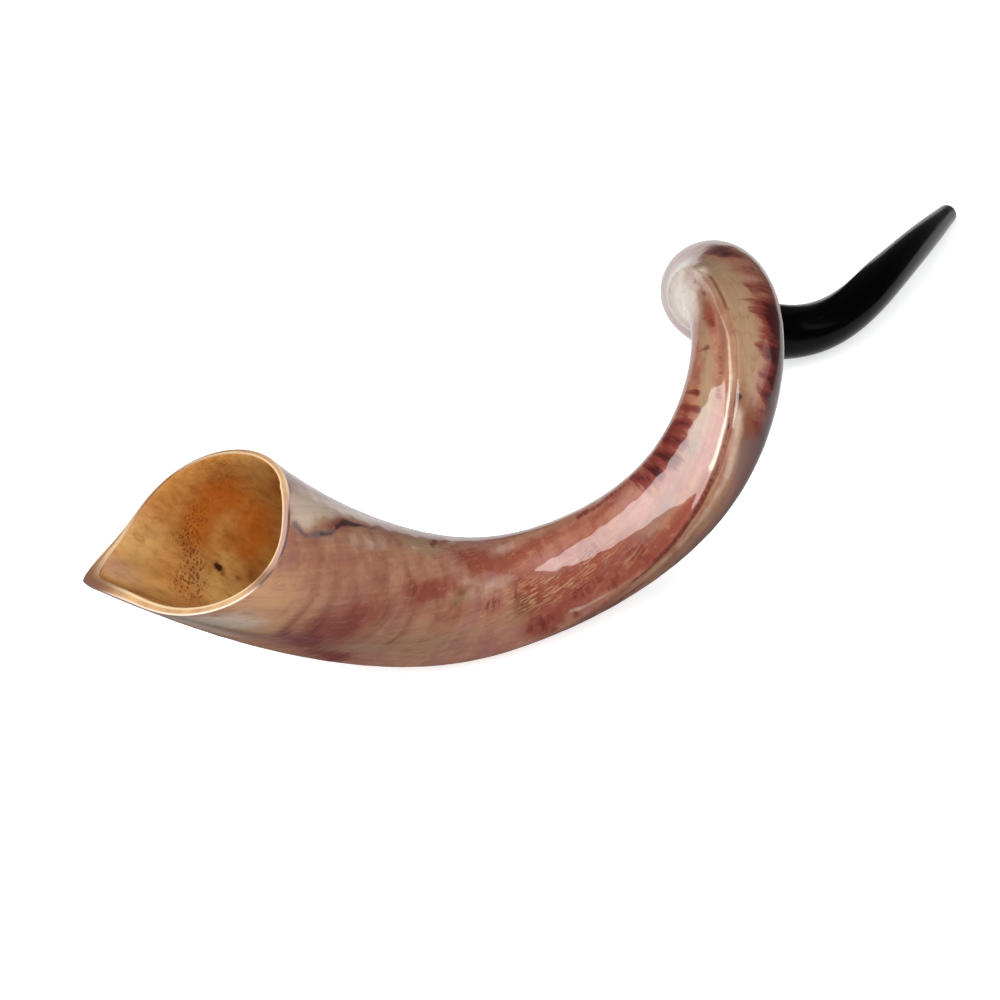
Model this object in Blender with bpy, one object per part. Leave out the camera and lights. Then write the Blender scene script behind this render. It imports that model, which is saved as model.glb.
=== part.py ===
"""Curly shofar: one left-handed corkscrew horn of a greater kudu, sawn at a slant for the bell.

The horn lies at rest on its belly and on its tip. +Z is up, +X runs from the bell to the tip, and the
origin is on the table under the middle of the horn. Two solids meet with a hairline gap: the hollow
sheath, and the solid black end that is drilled for the air and cupped for the lips.
"""

import math

import bmesh
import bpy
import numpy as np

MM = 0.001

# Centre line of the horn from the bell to the tip, in millimetres. A smooth curve runs through them.
CENTRE_LINE = (
    (-294.0, -4.4, 106.5),
    (-217.9, -17.1, 49.8),
    (-150.0, -42.4, 29.2),
    (-81.5, -76.6, 67.5),
    (-30.1, -60.8, 118.6),
    (17.3, -0.7, 110.0),
    (75.9, 51.2, 52.1),
    (147.2, 38.7, 20.0),
    (237.8, 53.3, 21.1),
    (338.0, 93.1, 6.0),
)

# Each list below is evenly spaced along the horn, from the bell to the tip. RADIUS and WALL are in
# millimetres, KEEL_ANGLE in degrees. KEEL_HEIGHT is a share of the radius, and OVALITY a ratio.
RADIUS = (36.0, 29.9, 20.5, 19.1, 15.9, 12.1, 6.2)
WALL = (3.5, 5.5, 4.0, 3.5, 4.0, 4.0, 4.0)
KEEL_ANGLE = (205.0, 132.0, 47.0, -139.0, -291.0, -419.0)
KEEL_HEIGHT = (0.40, 0.08, 0.14, 0.13, 0.07)
OVALITY = (0.97, 0.89, 1.02)

# The keel is the crest that winds along the horn. Its half width round the section is in radians.
KEEL_WIDTH = 0.33
KEEL_SHARPNESS = 1.4
KEEL_INSIDE = 0.85

# The mouth is cut on a slanting plane: how far it leans across the horn and aside, as slopes. Its
# outline is worked a little away from the horn's own, by waves of (count, cosine share, sine share).
MOUTH_SLANT = (-0.580, -0.204)
MOUTH_REACH = 0.25
MOUTH_OUTLINE = ((2, -0.067, -0.069), (3, 0.032, 0.006))

# Places along the horn, as shares of its length.
HOLLOW_NARROWS = 0.44
TIP_START = 0.70
BORE_ENDS = 0.962
CUP_START = 0.972
EDGE_START = 0.997

# The bore and the cup, in millimetres. The cup's rings stand at these shares of its depth, and it
# opens as the depth share to the power of CUP_CURVE.
BORE_RADIUS = 3.5
CUP_RADIUS = 4.2
CUP_CURVE = 0.4
CUP_SHARES = (1.0, 0.85, 0.6, 0.3, 0.0)
EDGE_ROUNDING = 0.8
JOINT_GAP = 0.3

# How the surfaces are divided. Points crowd towards the keel by POINT_CROWDING, and an edge that
# turns by more than SHARP_EDGE degrees is shaded sharp.
POINT_CROWDING = 0.35
SHARP_EDGE = 40.0
BODY_POINTS = 28
BODY_RINGS = 46
TIP_POINTS = 20
TIP_RINGS = 18
STEPS = 480


def clear_scene():
    for old in list(bpy.data.objects):
        bpy.data.objects.remove(old, do_unlink=True)


def smooth(knots, places):
    """Read a natural cubic curve through evenly spaced knots, at places from 0 to 1."""
    knots = np.asarray(knots, float)
    last = len(knots) - 1
    system = np.eye(last + 1)
    load = np.zeros_like(knots)
    for i in range(1, last):
        system[i, i - 1:i + 2] = 1, 4, 1
        load[i] = 6 * (knots[i - 1] - 2 * knots[i] + knots[i + 1])
    bend = np.linalg.solve(system, load)
    spot = np.clip(np.asarray(places, float), 0, 1) * last
    left = np.minimum(spot.astype(int), last - 1)
    ahead = spot - left
    if knots.ndim > 1:
        ahead = ahead[:, None]
    back = 1 - ahead
    straight = knots[left] * back + knots[left + 1] * ahead
    curved = bend[left] * (back**3 - back) + bend[left + 1] * (ahead**3 - ahead)
    return straight + curved / 6


def unit(vector):
    return vector / np.linalg.norm(vector)


class Spine:
    """The centre line with a frame carried along it that never twists about the line."""

    def __init__(self):
        self.points = smooth(CENTRE_LINE, np.linspace(0, 1, STEPS)) * MM
        tangents = np.gradient(self.points, axis=0)
        self.tangents = np.array([unit(t) for t in tangents])
        runs = np.linalg.norm(np.diff(self.points, axis=0), axis=1)
        self.length = runs.sum()
        self.along = np.concatenate([[0], np.cumsum(runs)]) / self.length
        normals = []
        carried = np.array([0.0, 0.0, 1.0])
        for tangent in self.tangents:
            carried = unit(carried - (carried @ tangent) * tangent)
            normals.append(carried)
        self.normals = np.array(normals)

    def frame(self, place):
        """Point, tangent, normal and side at a place from 0 at the bell to 1 at the tip."""
        def read(rows):
            return np.array([np.interp(place, self.along, rows[:, k]) for k in range(3)])

        tangent = unit(read(self.tangents))
        normal = read(self.normals)
        normal = unit(normal - (normal @ tangent) * tangent)
        return read(self.points), tangent, normal, np.cross(tangent, normal)


def value(knots, place):
    return float(smooth(knots, [place])[0])


def mouth_share(place):
    """How much of the mouth's shape is left: 1 at the mouth, 0 past its reach."""
    return max(0.0, 1 - place / MOUTH_REACH) ** 2


def outline(place, turns, keel_share=1.0):
    """Radius of the section over its mean, at angles counted from the keel."""
    oval = value(OVALITY, place)
    round_part = 1 / np.sqrt((np.cos(turns) / oval) ** 2 + (np.sin(turns) * oval) ** 2)
    away = np.abs((turns + math.pi) % (2 * math.pi) - math.pi)
    keel = np.exp(-((away / KEEL_WIDTH) ** KEEL_SHARPNESS))
    worked = sum(c * np.cos(n * turns) + s * np.sin(n * turns) for n, c, s in MOUTH_OUTLINE)
    height = keel_share * value(KEEL_HEIGHT, place)
    return round_part * (1 + height * keel) * (1 + mouth_share(place) * worked)


def around(count):
    """Angles round a section from the keel, closer together at the keel than opposite it."""
    even = np.linspace(0, 2 * math.pi, count, endpoint=False)
    return even - POINT_CROWDING * np.sin(2 * even) * (1 + np.cos(even)) / 2


def ring(spine, place, radii, turns):
    """Points of one section, slid along the horn where the slanting mouth calls for it."""
    point, tangent, normal, side = spine.frame(place)
    angles = turns + math.radians(value(KEEL_ANGLE, place))
    across = radii * np.cos(angles)
    aside = radii * np.sin(angles)
    slant, skew = MOUTH_SLANT
    slide = -mouth_share(place) * (slant * across + skew * aside)
    return point + np.outer(across, normal) + np.outer(aside, side) + np.outer(slide, tangent)


def outer_ring(spine, place, count, trim=0.0):
    turns = around(count)
    radii = value(RADIUS, place) * outline(place, turns) - trim
    return ring(spine, place, radii * MM, turns)


def hollow_ring(spine, place, count):
    """The bone core's hollow: it follows the sheath, then narrows to the drilled bore."""
    turns = around(count)
    inside = (value(RADIUS, place) - value(WALL, place)) * outline(place, turns, KEEL_INSIDE)
    narrowed = np.clip((place - HOLLOW_NARROWS) / (TIP_START - HOLLOW_NARROWS), 0, 1)
    blend = narrowed**2 * (3 - 2 * narrowed)
    radii = inside * (1 - blend) + BORE_RADIUS * blend
    return ring(spine, place, radii * MM, turns)


def bore_ring(spine, place, radius, count):
    return ring(spine, place, np.full(count, radius) * MM, around(count))


def material(name, colour, roughness):
    made = bpy.data.materials.new(name)
    made.use_nodes = True
    shader = made.node_tree.nodes["Principled BSDF"]
    shader.inputs["Base Color"].default_value = (*colour, 1)
    shader.inputs["Roughness"].default_value = roughness
    shader.inputs["Metallic"].default_value = 0.0
    return made


def closed_loft(name, rings, finish):
    """Skin the rings in order and close the last back to the first: a tube with a wall."""
    mesh = bpy.data.meshes.new(name)
    made = bmesh.new()
    loops = [[made.verts.new(point) for point in one] for one in rings]
    count = len(loops[0])
    for here, there in zip(loops, loops[1:] + loops[:1]):
        for k in range(count):
            after = (k + 1) % count
            made.faces.new((here[k], here[after], there[after], there[k]))
    bmesh.ops.recalc_face_normals(made, faces=made.faces)
    made.to_mesh(mesh)
    made.free()
    mesh.shade_smooth()
    mesh.set_sharp_from_angle(angle=math.radians(SHARP_EDGE))
    mesh.materials.append(finish)
    body = bpy.data.objects.new(name, mesh)
    bpy.context.scene.collection.objects.link(body)
    return body


def horn_body(spine):
    """The marbled sheath, from the slanting mouth to where the solid black end begins."""
    places = np.linspace(0, TIP_START, BODY_RINGS)
    outside = [outer_ring(spine, place, BODY_POINTS) for place in places]
    inside = [hollow_ring(spine, place, BODY_POINTS) for place in places[::-1]]
    finish = material("marbled_horn", (0.42, 0.20, 0.13), 0.18)
    return closed_loft("horn_body", outside + inside, finish)


def black_tip(spine):
    """The solid black end: bored through, cupped at the end, with its outer edge eased."""
    start = TIP_START + JOINT_GAP * MM / spine.length
    places = list(np.linspace(start, EDGE_START, TIP_RINGS))
    outside = [outer_ring(spine, place, TIP_POINTS) for place in places]
    outside.append(outer_ring(spine, 1.0, TIP_POINTS, EDGE_ROUNDING))
    cup = []
    for share in CUP_SHARES:
        radius = BORE_RADIUS + (CUP_RADIUS - BORE_RADIUS) * share**CUP_CURVE
        cup.append(bore_ring(spine, CUP_START + (1 - CUP_START) * share, radius, TIP_POINTS))
    bore = [bore_ring(spine, place, BORE_RADIUS, TIP_POINTS) for place in places[::-1] if place < BORE_ENDS]
    finish = material("black_horn", (0.012, 0.010, 0.009), 0.15)
    return closed_loft("black_tip", outside + cup + bore, finish)


def build():
    clear_scene()
    spine = Spine()
    horn_body(spine)
    black_tip(spine)


build()
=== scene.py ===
"""Looks of the curly shofar: a polished, marbled kudu horn with an amber hollow and a black blowing end.

Lengths are metres, unless a name ends in _MM. Radii and half widths are in millimetres too, until they
are made into points. "along" runs from 0 at the bell to 1 at the tip, and "turn" is the angle round a
section, counted from the keel. Marks on the horn are placed by these two.
"""

import math

import bpy
import numpy as np
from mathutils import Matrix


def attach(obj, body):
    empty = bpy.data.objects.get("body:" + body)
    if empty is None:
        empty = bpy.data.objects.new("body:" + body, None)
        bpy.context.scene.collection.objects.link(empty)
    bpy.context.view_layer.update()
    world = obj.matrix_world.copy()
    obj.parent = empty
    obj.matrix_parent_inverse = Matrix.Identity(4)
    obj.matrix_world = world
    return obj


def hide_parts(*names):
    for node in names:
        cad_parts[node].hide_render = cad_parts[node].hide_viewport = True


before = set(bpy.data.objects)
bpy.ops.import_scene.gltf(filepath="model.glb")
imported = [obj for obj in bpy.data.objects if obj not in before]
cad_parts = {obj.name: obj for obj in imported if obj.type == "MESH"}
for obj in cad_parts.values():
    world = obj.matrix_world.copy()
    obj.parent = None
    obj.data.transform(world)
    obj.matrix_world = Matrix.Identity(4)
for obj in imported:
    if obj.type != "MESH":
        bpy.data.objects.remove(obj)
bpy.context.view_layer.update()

MM = 0.001

# ---------------------------------------------------------------- the horn's shape

# As the CAD has it, but KEEL_ANGLE follows the winding of the crest at more places.

CENTRE_LINE_MM = (
    (-294.0, -4.4, 106.5), (-217.9, -17.1, 49.8), (-150.0, -42.4, 29.2), (-81.5, -76.6, 67.5),
    (-30.1, -60.8, 118.6), (17.3, -0.7, 110.0), (75.9, 51.2, 52.1), (147.2, 38.7, 20.0),
    (237.8, 53.3, 21.1), (338.0, 93.1, 6.0),
)
RADIUS_MM = (36.0, 29.9, 20.5, 19.1, 15.9, 12.1, 6.2)
WALL_MM = (3.5, 5.5, 4.0, 3.5, 4.0, 4.0, 4.0)
KEEL_ANGLE = (205.0, 167.0, 132.0, 99.0, 47.0, -4.0, -112.0, -215.0, -290.0, -356.0, -419.0)
KEEL_HEIGHT = (0.40, 0.08, 0.14, 0.13, 0.07)
OVALITY = (0.97, 0.89, 1.02)
KEEL_WIDTH = 0.33
KEEL_SHARPNESS = 1.4
KEEL_INSIDE = 0.85
MOUTH_SLANT = (-0.580, -0.204)
MOUTH_REACH = 0.25
MOUTH_OUTLINE = ((2, -0.067, -0.069), (3, 0.032, 0.006))
HOLLOW_NARROWS = 0.44
TIP_START = 0.70
BORE_ENDS = 0.962
CUP_START = 0.972
BORE_RADIUS_MM = 3.5
CUP_RADIUS_MM = 4.2
CUP_CURVE = 0.4
STEPS = 480

# ---------------------------------------------------------------- how finely it is made here

SKIN_RINGS = 380
HOLLOW_RINGS = 170
HOLLOW_CROWDING = 2.4
LIP_RINGS = 14
POINTS = 176
TIP_RINGS = 190
END_RINGS = 6
CUP_RINGS = 24
BORE_RINGS = 60
TIP_POINTS = 96
POINT_CROWDING = 0.35
LIP_ROUNDING_MM = 0.7
END_ROUNDING_MM = 1.0
# The sawn colour of the lip is full where the lip is this wide, and keeps this least share where it is
# thin. Inside the hollow it dies away over this depth.
LIP_FULL_MM = 2.0
LIP_LEAST = 0.22
LIP_FADE_MM = 0.6
# The lip is marked 1 at its outer edge, and this at its inner edge.
LIP_INNER = 0.5

# Inside the mouth the wall is scraped thin along one side: the middle and half width of that side in
# degrees, how much comes off at the edge, and how far in it reaches as a share of the horn.
FLARE_MIDDLE = 78
FLARE_HALF = 84
FLARE_MM = 2.9
FLARE_REACH = 0.008


def smooth(knots, places):
    """Read a natural cubic curve through evenly spaced knots, at places from 0 to 1."""
    knots = np.asarray(knots, float)
    last = len(knots) - 1
    system = np.eye(last + 1)
    load = np.zeros_like(knots)
    for i in range(1, last):
        system[i, i - 1:i + 2] = 1, 4, 1
        load[i] = 6 * (knots[i - 1] - 2 * knots[i] + knots[i + 1])
    bend = np.linalg.solve(system, load)
    spot = np.clip(np.asarray(places, float), 0, 1) * last
    left = np.minimum(spot.astype(int), last - 1)
    ahead = spot - left
    if knots.ndim > 1:
        ahead = ahead[:, None]
    back = 1 - ahead
    straight = knots[left] * back + knots[left + 1] * ahead
    curved = bend[left] * (back**3 - back) + bend[left + 1] * (ahead**3 - ahead)
    return straight + curved / 6


def unit_rows(rows):
    return rows / np.linalg.norm(rows, axis=-1, keepdims=True)


class Spine:
    """The centre line with a frame carried along it that never twists about the line."""

    def __init__(self):
        self.points = smooth(CENTRE_LINE_MM, np.linspace(0, 1, STEPS)) * MM
        self.tangents = unit_rows(np.gradient(self.points, axis=0))
        runs = np.linalg.norm(np.diff(self.points, axis=0), axis=1)
        self.length = runs.sum()
        self.along = np.concatenate([[0], np.cumsum(runs)]) / self.length
        normals = []
        carried = np.array([0.0, 0.0, 1.0])
        for tangent in self.tangents:
            carried = carried - (carried @ tangent) * tangent
            carried = carried / np.linalg.norm(carried)
            normals.append(carried)
        self.normals = np.array(normals)

    def frames(self, places):
        """Points, tangents, normals and sides, a row for each place."""
        def read(rows):
            return np.stack([np.interp(places, self.along, rows[:, k]) for k in range(3)], axis=1)

        tangents = unit_rows(read(self.tangents))
        normals = read(self.normals)
        normals = unit_rows(normals - (normals * tangents).sum(1, keepdims=True) * tangents)
        return read(self.points), tangents, normals, np.cross(tangents, normals)


def wrap(angles):
    """The same angles, from minus pi to pi."""
    return (angles + math.pi) % (2 * math.pi) - math.pi


def mouth_share(places):
    """How much of the mouth's shape is left: 1 at the mouth, 0 past its reach."""
    return np.maximum(0, 1 - places / MOUTH_REACH) ** 2


def outline(places, turns, keel_share=1.0):
    """Radius of the section over its mean. places is a column, and turns has a row for each."""
    oval = smooth(OVALITY, places)[:, None]
    height = keel_share * smooth(KEEL_HEIGHT, places)[:, None]
    round_part = 1 / np.sqrt((np.cos(turns) / oval) ** 2 + (np.sin(turns) * oval) ** 2)
    keel = np.exp(-((np.abs(wrap(turns)) / KEEL_WIDTH) ** KEEL_SHARPNESS))
    worked = sum(c * np.cos(n * turns) + s * np.sin(n * turns) for n, c, s in MOUTH_OUTLINE)
    return round_part * (1 + height * keel) * (1 + mouth_share(places)[:, None] * worked)


def around(count):
    """Angles round a section from the keel, closer together at the keel than opposite it."""
    even = np.linspace(0, 2 * math.pi, count, endpoint=False)
    return even - POINT_CROWDING * np.sin(2 * even) * (1 + np.cos(even)) / 2


def rings(spine, places, radii, turns):
    """Sections of the horn as an array of rings, slid along it where the slanting mouth calls for it."""
    points, tangents, normals, sides = (rows[:, None, :] for rows in spine.frames(places))
    angles = turns + np.radians(smooth(KEEL_ANGLE, places))[:, None]
    across = (radii * np.cos(angles))[..., None]
    aside = (radii * np.sin(angles))[..., None]
    slant, skew = MOUTH_SLANT
    slide = -mouth_share(places)[:, None, None] * (slant * across + skew * aside)
    return points + across * normals + aside * sides + slide * tangents


# ---------------------------------------------------------------- relief and marks

# Strokes that shape the skin: (route as (along, turn in degrees), half width in mm, height in mm). A furrow
# runs beside the crest, the crest itself is drawn out into a narrow ridge, and its near flank is hollowed.
RELIEF = (
    (((0.240, 24), (0.255, 12), (0.280, 6), (0.330, 9), (0.380, 10), (0.430, 4), (0.470, -2)), 1.3, -0.35),
    (((0.280, 0), (0.340, 1), (0.385, 1), (0.425, -6), (0.460, -10), (0.500, -2), (0.560, 0)), 1.2, 0.40),
    (((0.350, -9), (0.390, -9), (0.425, -18), (0.455, -24), (0.490, -18)), 3.2, -0.45),
)
# Slow swellings run round the horn. They fade in from the lip and out before the black end. A second set
# lies over the first: its share of the height, how many to one of the first, and its sway round the horn.
SWELLING_MM = 0.06
SWELLING_PITCH_MM = 17.0
SECOND_SHARE = 0.6
SECOND_PACE = 1.73
SECOND_SWAY = 2
SWELLING_FADE_IN = 0.03
SWELLING_GONE = 0.66
SWELLING_FADE_OUT = 0.06
# Growth lines run round the section on the strand, and lean towards the mouth's plane near the bell.
LEAN_OF_GROWTH = 0.045
LEAN_REACH = 0.20
# Marks are pushed about by waves of (size, waves along, waves round, phase), so that no edge is ruled.
WAVES_ALONG = ((0.0007, 17, 3, 0), (0.0003, 41, -5, 1))
WAVES_ROUND = ((0.020, 19, 2, 0), (0.010, 47, 3, 2))
# A patch fades from its middle as a bell curve does. Above 1, its middle is flatter and its edge harder.
PATCH_EDGE = 1.3

# Broad marks: (layer, along, turn in degrees, half length along, half width in degrees, strength).
SKIN_PATCHES = (
    # the bell; the whitish marks close to the lip are painted reflection
    ("red", 0.070, -78, 0.020, 20, 0.75), ("red", 0.080, -40, 0.020, 26, 0.75),
    ("red", 0.100, -75, 0.030, 25, 0.25), ("red", 0.128, -94, 0.022, 10, 0.90),
    ("red", 0.105, -103, 0.012, 9, 0.45), ("red", 0.150, -72, 0.016, 12, 0.45),
    ("red", 0.045, -158, 0.018, 7, 0.75), ("red", 0.150, -140, 0.016, 14, 0.65),
    ("red", 0.040, -115, 0.020, 14, 0.30), ("amber", 0.006, -102, 0.022, 22, 0.85),
    ("amber", 0.030, -80, 0.018, 24, 0.35), ("amber", 0.028, -161, 0.010, 8, 0.5),
    ("olive", 0.125, -134, 0.024, 12, 0.95), ("olive", 0.152, -82, 0.008, 7, 0.80),
    ("olive", 0.110, -45, 0.050, 30, 0.40), ("olive", 0.165, -30, 0.040, 26, 0.30),
    ("pale_and_reflection", 0.022, -58, 0.018, 20, 0.80), ("amber", 0.034, -56, 0.022, 20, 1.10),
    ("pale_and_reflection", 0.020, -178, 0.050, 14, 0.95), ("pale_and_reflection", 0.012, -160, 0.012, 9, 0.80),
    ("pale_and_reflection", 0.080, -170, 0.030, 8, 0.55), ("pale_and_reflection", 0.012, -62, 0.016, 24, 0.65),
    ("pale_and_reflection", 0.035, -18, 0.030, 12, 0.70), ("pale_and_reflection", 0.055, -140, 0.006, 9, 0.38),
    ("pale_and_reflection", 0.069, -140, 0.007, 10, 0.40), ("pale_and_reflection", 0.082, -138, 0.006, 10, 0.32),
    ("pale_and_reflection", 0.160, -142, 0.012, 9, 0.35), ("pale_and_reflection", 0.178, -82, 0.024, 7, 0.30),
    ("pale_and_reflection", 0.300, -112, 0.040, 10, 0.35),
    # the belly
    ("red", 0.190, -100, 0.030, 18, 0.75), ("red", 0.215, -72, 0.014, 11, 0.80),
    ("red", 0.185, -64, 0.010, 8, 0.55), ("red", 0.245, -38, 0.036, 28, 1.00),
    ("red", 0.222, -16, 0.012, 18, 0.90), ("red", 0.240, -100, 0.030, 12, 0.70),
    ("red", 0.165, -115, 0.020, 12, 0.85), ("red", 0.300, -10, 0.026, 12, 1.00),
    ("red", 0.275, -35, 0.016, 26, 0.90), ("red", 0.262, -75, 0.030, 10, 0.60),
    ("olive", 0.212, -50, 0.016, 14, 0.55), ("olive", 0.170, -85, 0.018, 12, 0.50),
    ("olive", 0.262, -44, 0.012, 10, 0.45), ("red", 0.330, -2, 0.040, 8, 0.70),
    ("red", 0.255, 12, 0.020, 16, 0.60), ("maroon", 0.250, -32, 0.014, 9, 0.60),
    ("maroon", 0.262, -62, 0.012, 7, 0.60), ("umber", 0.236, -50, 0.034, 16, 0.80),
    ("umber", 0.288, -14, 0.022, 10, 0.60), ("maroon", 0.283, -26, 0.012, 8, 0.45),
    # The grey patch at 0.325 greys the colour under the strand's highlight: painted reflection.
    ("smoke_and_grey_reflection", 0.325, -36, 0.056, 14, 0.50), ("umber", 0.215, -60, 0.014, 14, 0.55),
    ("umber", 0.205, -84, 0.036, 26, 0.34), ("maroon", 0.222, -22, 0.012, 8, 0.55),
    ("umber", 0.152, -86, 0.006, 6, 0.70), ("maroon", 0.112, -98, 0.010, 8, 0.40),
    ("maroon", 0.185, -66, 0.010, 8, 0.40), ("pale_and_reflection", 0.205, -110, 0.020, 9, 0.35),
    # the strand
    ("olive", 0.420, 28, 0.046, 24, 1.00), ("olive", 0.460, 10, 0.030, 22, 0.95),
    ("olive", 0.378, -32, 0.022, 13, 1.00), ("olive", 0.350, -36, 0.014, 12, 0.70),
    ("olive", 0.330, 30, 0.040, 14, 0.45), ("olive", 0.400, -36, 0.012, 10, 0.60),
    ("umber", 0.372, 36, 0.014, 22, 0.75), ("umber", 0.385, 18, 0.020, 8, 0.35),
    ("umber", 0.405, -13, 0.026, 8, 0.50), ("umber", 0.290, 28, 0.040, 9, 0.45),
    ("red", 0.430, -28, 0.014, 12, 0.90), ("red", 0.350, -68, 0.034, 20, 0.75),
    ("red", 0.295, -90, 0.030, 8, 0.70), ("red", 0.455, 50, 0.022, 20, 0.45),
    ("red", 0.395, -52, 0.012, 12, 0.55), ("maroon", 0.490, 48, 0.010, 12, 0.55),
    ("pale_and_reflection", 0.450, 48, 0.004, 16, 0.40), ("maroon", 0.408, 76, 0.046, 18, 1.25),
    ("maroon", 0.408, 58, 0.036, 14, 0.45), ("red", 0.408, 58, 0.040, 20, 0.55),
    ("maroon", 0.340, -80, 0.032, 13, 0.70), ("maroon", 0.345, -62, 0.030, 12, 0.62),
    ("olive", 0.425, -42, 0.030, 12, 0.70), ("umber", 0.445, -30, 0.020, 10, 0.55),
    ("umber", 0.360, 60, 0.030, 16, 0.50),
    # the loop and the far side, down to the black end; the whitish marks on the loop are painted reflection
    ("pale_and_reflection", 0.545, -20, 0.045, 50, 1.30), ("pale_and_reflection", 0.480, -55, 0.040, 30, 1.00),
    ("pale_and_reflection", 0.510, 0, 0.016, 20, 0.80), ("pale_and_reflection", 0.470, -4, 0.010, 12, 0.70),
    ("red", 0.560, 60, 0.030, 40, 0.60), ("olive", 0.560, 120, 0.040, 30, 0.80),
    ("red", 0.530, 160, 0.050, 30, 0.80), ("red", 0.620, 60, 0.030, 60, 0.65),
    ("umber", 0.600, -90, 0.040, 40, 0.70), ("umber", 0.640, 150, 0.030, 60, 0.80),
    ("red", 0.470, 150, 0.050, 30, 0.60), ("olive", 0.400, 150, 0.060, 28, 0.90),
    ("red", 0.330, 130, 0.050, 40, 0.75), ("olive", 0.270, 165, 0.050, 26, 0.80),
    ("olive", 0.180, 120, 0.050, 30, 0.75), ("red", 0.215, 75, 0.040, 26, 0.80),
    ("red", 0.110, 70, 0.050, 40, 0.60), ("red", 0.200, -170, 0.040, 24, 0.60),
    ("amber", 0.020, 70, 0.030, 50, 0.50), ("pale_and_reflection", 0.060, 130, 0.040, 30, 0.45),
    ("olive", 0.090, 170, 0.040, 22, 0.60),
)
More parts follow.
